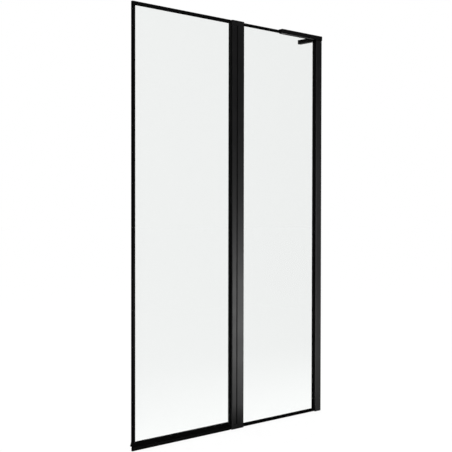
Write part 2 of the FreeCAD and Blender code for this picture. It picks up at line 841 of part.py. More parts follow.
bulb = [
    (wiper_front + s.wiper_wall, bulb_low),
    (wiper_front + s.wiper_round, s.wiper_wall - s.wiper_drop),
    (wiper_rear - s.wiper_round, s.wiper_wall - s.wiper_drop),
    (wiper_rear - s.wiper_wall, bulb_low),
    (wiper_rear - s.wiper_wall, tee_low - s.wiper_wall),
    (wiper_front + s.wiper_wall, tee_low - s.wiper_wall),
]
extrude(wiper, "YZ_Plane", free_edge, swing_right, [bulb], cut=True)

# Stabiliser: a saddle rail over the fixed pane and a leg that lies along the wall over the bath
stabiliser_rail = new_body("stabiliser_rail")
slot_high = fixed_top + s.liner_thick
saddle = [
    (rail_front, rail_low),
    (-slot_half, rail_low),
    (-slot_half, slot_high),
    (slot_half, slot_high),
    (slot_half, rail_low),
    (rail_rear, rail_low),
    (rail_rear, rail_high),
    (rail_front, rail_high),
]
extrude(stabiliser_rail, "YZ_Plane", -s.rail_length, zero, [saddle])
rail_edges = [
    (None, rail_front, rail_low),
    (None, rail_front, rail_high),
    (None, rail_rear, rail_high),
    (-s.rail_length, rail_front, None),
]
break_edges(stabiliser_rail, s.edge_break, rail_edges)
grub_x = -s.rail_length * (1 - grub_share)
grub_step = s.rail_length * (1 - 2 * grub_share)
grub_hole = [(grub_x, zero, s.grub_radius)]
grubs = extrude(stabiliser_rail, "XY_Plane", slot_high, rail_high, circles=grub_hole, cut=True)
repeat(stabiliser_rail, grubs, "X_Axis", grub_step, 2)
leg_middle = -s.leg_width / 2
corner_z = (rail_low + slot_high) / 2
corner_hole = [(leg_middle, corner_z, s.corner_screw_radius)]
extrude(stabiliser_rail, "XZ_Plane", slot_half, rail_rear, circles=corner_hole, cut=True)
liner = new_body("stabiliser_liner")
liner_section = [
    (-slot_half, rail_low),
    (-half_trim, rail_low),
    (-half_trim, fixed_top),
    (half_trim, fixed_top),
    (half_trim, rail_low),
    (slot_half, rail_low),
    (slot_half, slot_high),
    (-slot_half, slot_high),
]
extrude(liner, "YZ_Plane", -s.rail_length, slot_back, [liner_section])
grub_screws = new_body("stabiliser_grub_screws")
grub = extrude(grub_screws, "XY_Plane", slot_high, rail_high - s.grub_sink, circles=grub_hole)
repeat(grub_screws, grub, "X_Axis", grub_step, 2)
wall_leg = new_body("stabiliser_wall_leg")
leg_end = rail_rear + s.leg_length
leg_outline = box(-s.leg_width, zero, rail_low, rail_high)
extrude(wall_leg, "XZ_Plane", rail_rear, leg_end, [leg_outline])
leg_edges = [
    (-s.leg_width, None, rail_low),
    (-s.leg_width, None, rail_high),
    (-s.leg_width, leg_end, None),
    (None, leg_end, rail_high),
    (None, leg_end, rail_low),
]
break_edges(wall_leg, s.edge_break, leg_edges)
thread_end = slot_half + s.corner_screw_length
extrude(wall_leg, "XZ_Plane", rail_rear, thread_end, circles=corner_hole, cut=True)
leg_z = (rail_low + rail_high) / 2
leg_hole_y = leg_end - s.leg_width / 2
leg_first = leg_hole_y - s.leg_hole_pitch
leg_hole = [(leg_first, leg_z, s.wall_hole_radius)]
leg_holes = extrude(wall_leg, "YZ_Plane", -s.leg_width, zero, circles=leg_hole, cut=True)
repeat(wall_leg, leg_holes, "Y_Axis", s.leg_hole_pitch, 2)
bore_right = s.leg_bore_depth - s.leg_width
leg_bore = [(leg_first, leg_z, s.leg_bore_radius)]
leg_bores = extrude(wall_leg, "YZ_Plane", -s.leg_width, bore_right, circles=leg_bore, cut=True)
repeat(wall_leg, leg_bores, "Y_Axis", s.leg_hole_pitch, 2)
leg_covers = new_body("stabiliser_leg_covers")
cover_depth = s.cover_wall * 2 - s.leg_width
leg_cover = extrude(leg_covers, "YZ_Plane", -s.leg_width, cover_depth, circles=leg_bore)
repeat(leg_covers, leg_cover, "Y_Axis", s.leg_hole_pitch, 2)
corner_screw = new_body("stabiliser_corner_screw")
socket_screw = [
    (slot_half - s.corner_head_height, zero),
    (slot_half - s.corner_head_height, s.corner_head_radius),
    (slot_half, s.corner_head_radius),
    (slot_half, s.corner_screw_radius),
    (thread_end, s.corner_screw_radius),
    (thread_end, zero),
]
turn(corner_screw, "Y", (leg_middle, corner_z), socket_screw)

doc.recompute()
for thing in doc.Objects:
    if "Invalid" in thing.State or "Error" in thing.State:
        raise RuntimeError(thing.Label + " did not build")
os.makedirs("parts", exist_ok=True)
for body in finished:
    if body.Shape.isNull() or not body.Shape.isValid() or not body.Shape.Solids:
        raise RuntimeError(body.Label + " has no sound solid")
    body.Shape.exportStep(os.path.join("parts", body.Label + ".step"))
print(len(finished), "sub-parts written")
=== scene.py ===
# %% [markdown]
# # A glass bath screen in matt black
#
# The screen stands on the rim of a bath: a channel on the wall, a fixed pane, a pivot post, and a
# second pane that swings. The solids come from the imported model, in metres, each already in its
# place. This lesson sets up the studio, gives the solids their finishes, and makes the soft and
# small pieces in more detail. The box of the solids is kept first, and the floor is laid at its
# foot.

# %% Load the imported solids
import math

import bmesh
import bpy
from mathutils import Matrix, Vector


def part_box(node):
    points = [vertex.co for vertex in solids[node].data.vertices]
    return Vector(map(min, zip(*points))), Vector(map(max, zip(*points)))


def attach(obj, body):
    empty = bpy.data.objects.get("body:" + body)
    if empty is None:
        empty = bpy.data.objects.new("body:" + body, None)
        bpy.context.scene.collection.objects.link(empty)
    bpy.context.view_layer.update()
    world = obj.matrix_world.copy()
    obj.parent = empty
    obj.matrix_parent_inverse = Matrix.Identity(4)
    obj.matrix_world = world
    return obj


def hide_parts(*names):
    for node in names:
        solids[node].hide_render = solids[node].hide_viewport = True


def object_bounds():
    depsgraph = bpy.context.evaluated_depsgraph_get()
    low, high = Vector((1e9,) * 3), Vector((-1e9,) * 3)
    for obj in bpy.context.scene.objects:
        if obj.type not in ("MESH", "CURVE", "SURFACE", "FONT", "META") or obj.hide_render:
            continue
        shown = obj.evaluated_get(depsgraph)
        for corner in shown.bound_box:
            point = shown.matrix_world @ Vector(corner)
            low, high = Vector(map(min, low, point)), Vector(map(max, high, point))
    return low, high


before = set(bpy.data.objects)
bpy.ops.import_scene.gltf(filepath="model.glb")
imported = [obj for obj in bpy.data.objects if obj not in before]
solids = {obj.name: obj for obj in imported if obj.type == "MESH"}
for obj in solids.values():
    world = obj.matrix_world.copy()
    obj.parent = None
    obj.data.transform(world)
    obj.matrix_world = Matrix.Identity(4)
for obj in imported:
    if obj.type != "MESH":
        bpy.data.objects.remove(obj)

MM = 0.001
scene = bpy.context.scene
cad_box = [list(corner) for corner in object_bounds()]
print("solids:", len(solids), "box in mm:", [[round(v / MM, 1) for v in c] for c in cad_box])

# %% [markdown]
# ## The camera
#
# The picture was taken from the room, at about the middle of the screen's height, from the free
# edge's side. A camera can be placed by eye, but here its place, turn and focal length were worked
# out from the screen's own straight edges, so the render lies over the picture. The focal length
# is in pixels of a square picture, and the lens in millimetres follows from it.

# %% Place the camera
PICTURE_SIDE = 452
FOCAL_PIXELS = 901.336
SENSOR_WIDTH = 36.0
EYE = Vector((-2.54399, -2.26172, 0.74441))
YAW, PITCH, ROLL = math.radians(-42.475), math.radians(-0.887), math.radians(-0.092)

camera = bpy.data.objects.new("camera", bpy.data.cameras.new("camera"))
camera.data.sensor_width = SENSOR_WIDTH
camera.data.lens = SENSOR_WIDTH * FOCAL_PIXELS / PICTURE_SIDE
level_look = Matrix.Rotation(math.pi / 2, 4, "X")
aim = Matrix.Rotation(YAW, 4, "Z") @ Matrix.Rotation(PITCH, 4, "X") @ Matrix.Rotation(ROLL, 4, "Y")
camera.matrix_world = Matrix.Translation(EYE) @ aim @ level_look
scene.collection.objects.link(camera)
scene.camera = camera
scene.view_settings.view_transform = "Standard"
print("lens in mm:", round(camera.data.lens, 2))

# %% [markdown]
# ## Two small helpers
#
# Every finish below is a net of shader nodes. One helper adds a node, sets its properties and
# fills its sockets, with a plain value or with a link. The other turns the colour that a designer
# writes, an sRGB hex value, into the linear numbers that the renderer works with.

# %% Helpers for nodes and colours


def add_node(tree, kind, settings=None, inputs=None):
    """Adds one node. An input that is another node's output is linked, and any other is set."""
    node = tree.nodes.new(kind)
    for name, value in (settings or {}).items():
        setattr(node, name, value)
    for name, value in (inputs or {}).items():
        if isinstance(value, bpy.types.NodeSocket):
            tree.links.new(value, node.inputs[name])
        else:
            node.inputs[name].default_value = value
    return node


def linear(hex_colour):
    """An sRGB hex colour as linear red, green, blue and full alpha."""
    shares = [int(hex_colour[i : i + 2], 16) / 255 for i in (1, 3, 5)]
    bent = [c / 12.92 if c <= 0.04045 else ((c + 0.055) / 1.055) ** 2.4 for c in shares]
    return (*bent, 1.0)


WHITE = linear("#FFFFFF")
print("white:", WHITE, "mid grey:", [round(c, 4) for c in linear("#808080")])

# %% [markdown]
# ## White air
#
# The picture has a pure white ground and no visible floor line. The air of the studio could be
# bright for the camera alone, but white all round at a strength of 1 is plainer: the camera, the
# glass and the metal all meet the same white, and a matt colour renders as it is written.

# %% White air
air = bpy.data.worlds.new("studio_air")
air.use_nodes = True
# The air is even, so it needs no map of bright places to aim its light rays at.
air.cycles.sampling_method = "NONE"
ground = air.node_tree.nodes["Background"]
ground.inputs["Color"].default_value = WHITE
ground.inputs["Strength"].default_value = 1.0
scene.world = air
print("air strength:", ground.inputs["Strength"].default_value)

# %% [markdown]
# ## The floor's paper
#
# A studio floor is a sheet of white paper. Lit as plain paper, it would meet the air in a grey
# line. So for the camera, and for what is seen through the glass, most of its brightness is its
# own. The rest is real light, which keeps the screen's soft shadow on the floor.

# %% White paper
OWN_SHARE = 0.88

# Matt background paper: an even white without any shine.
floor_finish = bpy.data.materials.new("white_studio_paper")
floor_finish.use_nodes = True
tree = floor_finish.node_tree
tree.nodes.clear()
rays = add_node(tree, "ShaderNodeLightPath").outputs
seen = add_node(
    tree,
    "ShaderNodeMath",
    {"operation": "MAXIMUM"},
    {0: rays["Is Camera Ray"], 1: rays["Is Transmission Ray"]},
)
share = add_node(
    tree, "ShaderNodeMath", {"operation": "MULTIPLY"}, {0: seen.outputs[0], 1: OWN_SHARE}
)
paper = add_node(tree, "ShaderNodeBsdfDiffuse", inputs={"Color": WHITE})
own = add_node(tree, "ShaderNodeEmission", inputs={"Color": WHITE, "Strength": 1.0})
direct = add_node(
    tree,
    "ShaderNodeMixShader",
    inputs={0: share.outputs[0], 1: paper.outputs[0], 2: own.outputs[0]},
)
print("the floor's own share of its brightness:", OWN_SHARE)

# %% [markdown]
# ## A pool of light in the glass
#
# In the picture the panes grow brighter towards their foot, where they mirror a lit floor. A lamp
# on the floor would light the metal and the shadow too. So the paper shows a pool of light that
# fades away from the screen's foot, but only to rays that a surface has mirrored, which Glossy
# Depth counts.

# %% Pool of light
# About the middle of the screen's width, from the wall.
SCREEN_MIDDLE = -0.43
POOL_LENGTH, POOL_DEPTH = 5.0, 1.5
POOL_LEVEL = 1.3

place = add_node(tree, "ShaderNodeTexCoord").outputs["Object"]
foot = add_node(
    tree,
    "ShaderNodeMapping",
    {"vector_type": "TEXTURE"},
    {
        "Vector": place,
        "Location": (SCREEN_MIDDLE, 0.0, 0.0),
        "Scale": (POOL_LENGTH, POOL_DEPTH, 1.0),
    },
)
fade = add_node(
    tree,
    "ShaderNodeTexGradient",
    {"gradient_type": "QUADRATIC_SPHERE"},
    {"Vector": foot.outputs[0]},
)
pool = add_node(
    tree, "ShaderNodeMath", {"operation": "MULTIPLY"}, {0: fade.outputs["Fac"], 1: POOL_LEVEL}
)
glow = add_node(
    tree, "ShaderNodeEmission", inputs={"Color": WHITE, "Strength": pool.outputs[0]}
)
surface = add_node(
    tree,
    "ShaderNodeMixShader",
    inputs={0: rays["Glossy Depth"], 1: direct.outputs[0], 2: glow.outputs[0]},
)
add_node(tree, "ShaderNodeOutputMaterial", inputs={"Surface": surface.outputs[0]})
print("pool of light:", POOL_DEPTH, "m deep, level", POOL_LEVEL)

# %% [markdown]
# ## The floor sheet
#
# The sheet lies just under the wiper, and is so wide that no view shows where it ends. It belongs
# to the studio and not to the screen. Its light is linked to the panes alone, because black metal
# would mirror the pool as well.

# %% Floor sheet
FLOOR_SIDE = 60.0
PANES = ("fixed_glass", "swing_glass")


def set_on_stage(name, mesh, finish, hidden_from=()):
    """Makes a studio object of a bmesh. Some kinds of ray may pass it by."""
    thing = bpy.data.objects.new(name, bpy.data.meshes.new(name))
    mesh.to_mesh(thing.data)
    mesh.free()
    thing.data.materials.append(finish)
    for ray in hidden_from:
        setattr(thing, "visible_" + ray, False)
    scene.collection.objects.link(thing)
    return thing


def gather(name, members):
    """A collection of solids, for light that falls on these alone."""
    group = bpy.data.collections.new(name)
    for member in members:
        group.objects.link(solids[member])
    return group


floor_level = cad_box[0][2]
sheet = bmesh.new()
bmesh.ops.create_grid(sheet, x_segments=1, y_segments=1, size=FLOOR_SIDE / 2)
bmesh.ops.translate(sheet, verts=sheet.verts, vec=(0, 0, floor_level))
floor = set_on_stage("floor", sheet, floor_finish)
floor.light_linking.receiver_collection = gather("glass_panes", PANES)
print("floor at", round(floor_level / MM, 2), "mm")

# %% [markdown]
# ## Dark walls
#
# Black metal shows mostly what stands round it. In the picture its flat faces are near black, as
# if dark cloths stood round the screen. Plain cloths would darken the room and hide the white
# ground from some sides. So these four, open at the top, are there for mirrored rays alone: all
# other rays pass through them.

# %% Dark walls
WALL_REACH = 3.0
WALL_HEIGHT = 6.0
# A face whose normal has more than this share along Z counts as level.
LEVEL_SHARE = 0.5

# Velvet: a deep pile that swallows light, black from all sides.
cloth_finish = bpy.data.materials.new("black_velvet_cloth")
cloth_finish.use_nodes = True
tree = cloth_finish.node_tree
velvet = tree.nodes["Principled BSDF"]
velvet.inputs["Base Color"].default_value = linear("#060606")
velvet.inputs["Roughness"].default_value = 1.0
velvet.inputs["Specular IOR Level"].default_value = 0.0
rays = add_node(tree, "ShaderNodeLightPath").outputs
clear = add_node(tree, "ShaderNodeBsdfTransparent")
mirrored_only = add_node(
    tree,
    "ShaderNodeMixShader",
    inputs={0: rays["Glossy Depth"], 1: clear.outputs[0], 2: velvet.outputs[0]},
)
tree.links.new(mirrored_only.outputs[0], tree.nodes["Material Output"].inputs["Surface"])

cloth = bmesh.new()
bmesh.ops.create_cube(cloth, size=1.0)
ends = [face for face in cloth.faces if abs(face.normal.z) > LEVEL_SHARE]
bmesh.ops.delete(cloth, geom=ends, context="FACES_ONLY")
bmesh.ops.scale(cloth, verts=cloth.verts, vec=(2 * WALL_REACH, 2 * WALL_REACH, WALL_HEIGHT))
bmesh.ops.translate(cloth, verts=cloth.verts, vec=(SCREEN_MIDDLE, 0, WALL_HEIGHT / 2))
walls = set_on_stage("dark_walls", cloth, cloth_finish, ("camera", "diffuse", "shadow"))
print("dark walls:", len(walls.data.polygons), "cloths")

# %% [markdown]
# ## The lamp above
#
# A wide soft lamp hangs over the screen and gives the floor its shadow. All the lamps here are
# soft rectangles, so one function makes them. It takes the solids that a lamp lights, where these
# are not all.

# %% Overhead lamp


def area_lamp(name, size, watts, spot, target, lit=None):
    """A soft rectangular lamp at a spot, turned to a target, that no camera sees."""
    lamp = bpy.data.objects.new(name, bpy.data.lights.new(name, "AREA"))
    lamp.data.shape = "RECTANGLE"
    lamp.data.size, lamp.data.size_y = size
    lamp.data.energy = watts
    lamp.location = spot
    look = Vector(target) - Vector(spot)
    lamp.rotation_euler = look.to_track_quat("-Z", "Y").to_euler()
    lamp.visible_camera = False
    lamp.light_linking.receiver_collection = lit
    scene.collection.objects.link(lamp)
    print(name + ":", watts, "W")
    return lamp


area_lamp(
    "overhead_lamp",
    size=(2.4, 2.0),
    watts=30.0,
    spot=(-0.4, -0.7, 3.2),
    target=(SCREEN_MIDDLE, 0.0, 0.0),
)

# %% [markdown]
# ## Sheen on the uprights
#
# The uprights of the picture have a sheen. On the hinge it is strongest at knee height and fades
# upwards, on the wall channel it is nearly even, and on the trim at the free edge it is faint. It
# could be painted on, but then it would stay put when the view turns. So lamps in front make it.
# Each is linked to its own solids, which keeps it out of the panes and gives each upright the
# level of the picture.

# %% Lamps in front
LAMP_X = 0.4
LAMP_Y = -1.25
LAMP_WIDTH = 0.5
HINGE = ("hinge_post", "hinge_stile", "stile_top_plug", "stile_bottom_plug", "hinge_bottom_cap")
CHANNEL = ("wall_profile",)
OUTER_TRIM = ("free_edge_trim",)

# Name, solids it lights, its own height, watts, how high it hangs, and how high it is aimed.
FRONT_LAMPS = (
    ("hinge_lamp", HINGE, 0.4, 9.2, 0.21, 0.36),
    ("channel_low_lamp", CHANNEL, 0.15, 6.8, 0.08, 0.36),
    ("channel_high_lamp", CHANNEL, 0.4, 3.3, 0.82, 0.82),
    ("trim_lamp", OUTER_TRIM, 0.4, 0.55, 0.21, 0.36),
)

for name, members, tall, watts, hung, aimed in FRONT_LAMPS:
    spot = (LAMP_X, LAMP_Y, hung)
    target = (SCREEN_MIDDLE, 0.0, aimed)
    area_lamp(name, (LAMP_WIDTH, tall), watts, spot, target, gather(name + "_lit", members))

# %% [markdown]
# ## Light along the rounded edges
#
# A smaller lamp, further out and to the left, catches the rounded left edges of the profiles and
# draws the thin light line that the picture shows there.

# %% Edge lamp
area_lamp(
    "edge_lamp",
    size=(0.3, 0.3),
    watts=12.0,
    spot=(-0.95, -2.3, 0.16),
    target=(SCREEN_MIDDLE, 0.0, 0.3),
    lit=gather("upright_profiles", HINGE + CHANNEL),
)

# %% [markdown]
# ## A lamp on the bath side
#
# From behind, the black profiles would mirror nothing but dark walls and lose their form. White
# walls there would show in the panes, so a lamp over the bath gives the rear faces a soft grey. It
# lights everything but the panes, and isn't seen through them, so the view from the room stays as
# it is.

# %% Bath side lamp
dark_solids = gather("dark_solids", [name for name in solids if name not in PANES])
bath_side = area_lamp(
    "bath_side_lamp",
    size=(0.9, 1.2),
    watts=45.0,
    spot=(0.8, 1.9, 0.8),
    target=(SCREEN_MIDDLE, 0.0, 0.7),
    lit=dark_solids,
)
bath_side.visible_transmission = False

# %% [markdown]
# ## A card at the foot
#
# In the picture the hinge's sheen dies away over the last hand's breadth above the floor, while
# the wall channel keeps its own. A second lamp can't take light away, but a small card between the
# hinge's lamp and its foot does. It is there for shadows only, as a flag is in a studio.

# %% Card at the hinge's foot
CARD_WIDTH, CARD_HEIGHT = 0.34, 0.07
CARD_SPOT = (-0.27, -0.25, floor_level + CARD_HEIGHT / 2)

# Black card: dull, and no light comes through.
card_finish = bpy.data.materials.new("black_card")
card_finish.use_nodes = True
card_shader = card_finish.node_tree.nodes["Principled BSDF"]
card_shader.inputs["Base Color"].default_value = linear("#060606")

sheet = bmesh.new()
bmesh.ops.create_grid(sheet, x_segments=1, y_segments=1, size=CARD_WIDTH / 2)
bmesh.ops.scale(sheet, verts=sheet.verts, vec=(1, CARD_HEIGHT / CARD_WIDTH, 1))
bmesh.ops.rotate(sheet, verts=sheet.verts, matrix=Matrix.Rotation(math.pi / 2, 3, "X"))
bmesh.ops.translate(sheet, verts=sheet.verts, vec=CARD_SPOT)
passed_by = ("camera", "diffuse", "glossy", "transmission")
card = set_on_stage("foot_card", sheet, card_finish, passed_by)
print("foot card:", [round(v, 3) for v in card.dimensions])

# %% [markdown]
# ## Powder coat
#
# The profiles are extruded aluminium with a powder coat. All the metal of the screen is black, but
# not one black, so one function makes a finish from real sizes in millimetres: colour and
# roughness drift a little over the surface, and a fine grain goes into the bump. Real grains are
# mostly a few tenths of a millimetre, and here each is drawn some times coarser, so that it shows
# in a close view.

# %% A finish from real sizes


def make_finish(
    name, dark, pale, rough, drift_mm, grain_mm, depth_mm, stretch=(1, 1, 1), fixed=None
):
    """A solid finish: colour between dark and pale, roughness in a range, and a fine grain."""
    finish = bpy.data.materials.new(name)
    finish.use_nodes = True
    tree = finish.node_tree
    shader = tree.nodes["Principled BSDF"]
    place = add_node(tree, "ShaderNodeTexCoord").outputs["Object"]
    drawn = add_node(tree, "ShaderNodeMapping", inputs={"Vector": place, "Scale": stretch})
    drift = add_node(
        tree,
        "ShaderNodeTexNoise",
        inputs={"Vector": drawn.outputs[0], "Scale": 1 / (drift_mm * MM), "Detail": 4.0},
    )
    tone = add_node(
        tree,
        "ShaderNodeMix",
        {"data_type": "RGBA"},
        {0: drift.outputs["Fac"], 6: linear(dark), 7: linear(pale)},
    )
    sheen = add_node(
        tree,
        "ShaderNodeMapRange",
        inputs={"Value": drift.outputs["Fac"], "To Min": rough[0], "To Max": rough[1]},
    )
    grain = add_node(
        tree,
        "ShaderNodeTexNoise",
        inputs={"Vector": drawn.outputs[0], "Scale": 1 / (grain_mm * MM), "Detail": 2.0},
    )
    bump = add_node(
        tree,
        "ShaderNodeBump",
        inputs={"Height": grain.outputs["Fac"], "Distance": depth_mm * MM, "Strength": 1.0},
    )
    tree.links.new(tone.outputs[2], shader.inputs["Base Color"])
    tree.links.new(sheen.outputs["Result"], shader.inputs["Roughness"])
    tree.links.new(bump.outputs["Normal"], shader.inputs["Normal"])
    for socket, value in (fixed or {}).items():
        shader.inputs[socket].default_value = value
    return finish


# Fine-texture polyester powder coat on extruded aluminium: matt black with a faint sheen. The grit
# of the coat is about 0.4 mm, and is drawn at 1.6 mm.
powder_coat = make_finish(
    "black_powder_coat",
    "#09090A",
    "#0D0D0E",
    rough=(0.42, 0.52),
    drift_mm=40,
    grain_mm=1.6,
    depth_mm=0.06,
)
print(powder_coat.name, "has", len(powder_coat.node_tree.nodes), "nodes")

# %% [markdown]
# ## Other metals
#
# The hinge caps are zinc castings under the same coat. The slim trims are anodised, which colours
# the aluminium itself, so the lines that the extruding die left along them still show. Those lines
# could be cut in the mesh, but a grain stretched along the trim gives them at no cost. Level and
# upright trims need it in two directions. Screws and pins are steel.

# %% Other metal finishes
# Squeezed to this share along the trim, a grain becomes a line of fifty times its width.
DIE_LINES = 0.02
LOW_SHINE = {"Specular IOR Level": 0.4}

# Powder coat on a zinc casting: the same black, a little duller, on the cast skin.
cast_coat = make_finish(
    "black_coated_zinc",
    "#0A0A0B",
    "#101011",
    rough=(0.5, 0.62),
    drift_mm=18,
    grain_mm=1.5,
    depth_mm=0.05,
)
# Black anodised aluminium: a dense satin black with fine lines along the trim.
ANODISED = dict(
    dark="#040404",
    pale="#070707",
    rough=(0.32, 0.42),
    drift_mm=6,
    grain_mm=0.8,
    depth_mm=0.01,
    fixed=LOW_SHINE,
)
level_trim = make_finish("black_anodised_level", stretch=(DIE_LINES, 1, 1), **ANODISED)
upright_trim = make_finish("black_anodised_upright", stretch=(1, 1, DIE_LINES), **ANODISED)
# Black oxide on steel screws: dark, slightly oily and smoother than the coat.
black_steel = make_finish(
    "black_oxide_steel",
    "#0C0C0D",
    "#161617",
    rough=(0.3, 0.45),
    drift_mm=3,
    grain_mm=0.5,
    depth_mm=0.01,
)
# Bright zinc on steel pins and screws: pale metal with a fine grain.
bright_steel = make_finish(
    "zinc_plated_steel",
    "#A8A9AB",
    "#BCBDBF",
    rough=(0.25, 0.4),
    drift_mm=4,
    grain_mm=0.4,
    depth_mm=0.01,
    fixed={"Metallic": 1.0},
)
print("finishes so far:", len(bpy.data.materials))

# %% [markdown]
# ## Plastics and rubber
#
# The seals and small covers are plastics. Extruded PVC is satin, moulded nylon has a fine spark
# texture from its mould, and rubber is the dullest, with a faint grey bloom. The same function
# makes them all, because they differ only in tone, roughness and grain.

# %% Plastic and rubber finishes
FLOW_LINES = 0.03

# Extruded flexible PVC: satin black with faint flow lines along its length.
pvc = make_finish(
    "black_pvc",
    "#060606",
    "#090909",
    rough=(0.36, 0.46),
    drift_mm=9,
    grain_mm=1.0,
    depth_mm=0.01,
    stretch=(FLOW_LINES, 1, 1),
    fixed=LOW_SHINE,
)
# Moulded nylon: black with the fine spark texture of its mould.
nylon = make_finish(
    "black_nylon",
    "#0B0B0C",
    "#101011",
    rough=(0.45, 0.6),
    drift_mm=10,
    grain_mm=0.6,
    depth_mm=0.03,
)
# Extruded EPDM rubber: dull black with a faint grey bloom in patches.
rubber = make_finish(
    "black_rubber",
    "#050505",
    "#090909",
    rough=(0.62, 0.8),
    drift_mm=12,
    grain_mm=0.9,
    depth_mm=0.02,
)
# Acetal bushes and washer: waxy white, smooth.
acetal = make_finish(
    "white_acetal",
    "#DDDDD6",
    "#E8E8E2",
    rough=(0.3, 0.42),
    drift_mm=8,
    grain_mm=0.8,
    depth_mm=0.01,
)
# Polypropylene setting blocks: plain mid grey.
block_plastic = make_finish(
    "grey_polypropylene",
    "#8C8D8F",
    "#98999B",
    rough=(0.4, 0.55),
    drift_mm=8,
    grain_mm=0.8,
    depth_mm=0.02,
)
print("finishes so far:", len(bpy.data.materials))

# %% [markdown]
# ## Glass
#
# The panes are 5 mm toughened glass, clear with a faint grey-green tint. A thin sheet could be
# faked with transparency, but the panes are real solids, so the shader's own transmission bends
# the light as glass does. Toughened glass is rolled while it is soft, and keeps a very shallow
# wave, which only shows in what it mirrors. The panes cast no shadow, as clear glass hardly does.

# %% Toughened glass
GLASS_TINT = linear("#F9FBFA")
WAVE_MM = 260
WAVE_DEPTH_MM = 0.012

# Clear float glass, toughened: smooth as a mirror, with a faint grey-green cast.
glass = bpy.data.materials.new("clear_toughened_glass")
glass.use_nodes = True
tree = glass.node_tree
shader = tree.nodes["Principled BSDF"]
shader.inputs["Base Color"].default_value = GLASS_TINT
shader.inputs["Roughness"].default_value = 0.0
shader.inputs["IOR"].default_value = 1.5
shader.inputs["Transmission Weight"].default_value = 1.0
place = add_node(tree, "ShaderNodeTexCoord").outputs["Object"]
wave = add_node(
    tree,
    "ShaderNodeTexNoise",
    inputs={"Vector": place, "Scale": 1 / (WAVE_MM * MM), "Detail": 0.0},
)
ripple = add_node(
    tree,
    "ShaderNodeBump",
    inputs={"Height": wave.outputs["Fac"], "Distance": WAVE_DEPTH_MM * MM, "Strength": 1.0},
)
tree.links.new(ripple.outputs["Normal"], shader.inputs["Normal"])
for pane in PANES:
    solids[pane].visible_shadow = False
print("glass tint:", [round(c, 3) for c in GLASS_TINT[:3]])

# %% [markdown]
# ## Each solid and its finish
#
# The real screen comes as a kit of profiles, castings, panes, seals and screws, and each kind has
# one finish. Materials could be set solid by solid, but a list of solids for each finish is easier
# to read, and the count at the end shows that none was left out.

# %% Give each solid its finish
FINISHES = {
    powder_coat: """
        wall_profile wall_stile hinge_post hinge_stile stabiliser_rail stabiliser_wall_leg
    """,
    cast_coat: "hinge_top_cap hinge_bottom_cap",
    level_trim: "fixed_top_trim fixed_bottom_trim swing_top_trim",
    upright_trim: "free_edge_trim",
    black_steel: "hinge_cap_screws stabiliser_grub_screws stile_plug_screws",
    bright_steel: "pivot_pin_top pivot_pin_bottom profile_screws stabiliser_corner_screw",
    pvc: "seal_carrier seal_end_plug",
    nylon: """
        wall_profile_cap profile_screw_covers stabiliser_leg_covers stile_top_plug stile_bottom_plug
    """,
    rubber: """
        fixed_glazing_gaskets swing_glazing_gaskets hinge_gap_seal stabiliser_liner wiper_blade
    """,
    acetal: "pivot_bush_top pivot_bush_bottom thrust_washer",
    block_plastic: "fixed_setting_blocks",
    glass: "fixed_glass swing_glass",
}

for finish, names in FINISHES.items():
    for name in names.split():
        solids[name].data.materials.clear()
        solids[name].data.materials.append(finish)
finished = sum(len(names.split()) for names in FINISHES.values())
print("solids with a finish:", finished, "of", len(solids))

# %% [markdown]
# ## Broken edges
#
# No edge of an extruded trim is sharp: the die leaves a small radius, and tumbling before the
# black anodising rounds the cut ends too. It catches a thin line of light, and shows where two
# trims meet. A new mesh could have it, but a modifier breaks the edges of the solids as they are.
# Their triangles are loose, so a weld joins them first.

# %% Break the sharp edges
WELD_REACH = 0.001 * MM
BROKEN_EDGE = 0.4 * MM
BROKEN_FROM = math.radians(50)
BROKEN = ("fixed_top_trim", "fixed_bottom_trim", "swing_top_trim", "free_edge_trim", "seal_carrier")

for name in BROKEN:
    weld = solids[name].modifiers.new("joined_triangles", "WELD")
    weld.merge_threshold = WELD_REACH
    broken = solids[name].modifiers.new("broken_edges", "BEVEL")
    broken.width = BROKEN_EDGE
    broken.segments = 2
    broken.limit_method = "ANGLE"
    broken.angle_limit = BROKEN_FROM
print("solids with broken edges:", len(BROKEN))

# %% [markdown]
# ## Soft strips
#
# Gaskets, seals, the liner and the wiper are extruded: rubber is pushed through a die, so one
# section runs the whole length. A curve with a bevel would make them too, but it has no open,
# hollow ends. So each strip is a line of a few points that is drawn out, rounded along its folds
# and then given a wall, which grows inwards from the line. A short trial shows that the strip is
# closed.

# %% A strip drawn out from a section
TRIAL_SIDE = 5 * MM
TRIAL_WALL = 1 * MM


def join_to(mesh, part):
    """Moves all of one bmesh into another."""
    carried = bpy.data.meshes.new("carried")
    part.to_mesh(carried)
    part.free()
    mesh.from_mesh(carried)
    bpy.data.meshes.remove(carried)


def add_strip(mesh, line, place, reach, wall, rounding, ring=False):
    """Adds a soft strip. place puts a point of its section in the frame, and reach is its run."""
    strip = bmesh.new()
    points = [strip.verts.new(place(*point)) for point in line]
    nexts = points[1:] + points[:1] if ring else points[1:]
    section = [strip.edges.new(pair) for pair in zip(points, nexts)]
    drawn = bmesh.ops.extrude_edge_only(strip, edges=section)["geom"]
    far_end = [part for part in drawn if isinstance(part, bmesh.types.BMVert)]
    bmesh.ops.translate(strip, verts=far_end, vec=reach)
    folds = [edge for edge in strip.edges if len(edge.link_faces) == 2]
    bmesh.ops.bevel(
        strip, geom=folds, offset=rounding, segments=3, profile=0.5, affect="EDGES", material=-1
    )
    bmesh.ops.recalc_face_normals(strip, faces=strip.faces)
    bmesh.ops.solidify(strip, geom=strip.faces[:], thickness=wall)
    join_to(mesh, strip)


def level(start):
    """Places a section for a strip that runs level, along the screen."""
    return lambda across, depth: (start, across, depth)


def upright(start):
    """Places a section for a strip that stands upright."""
    return lambda across, depth: (depth, across, start)


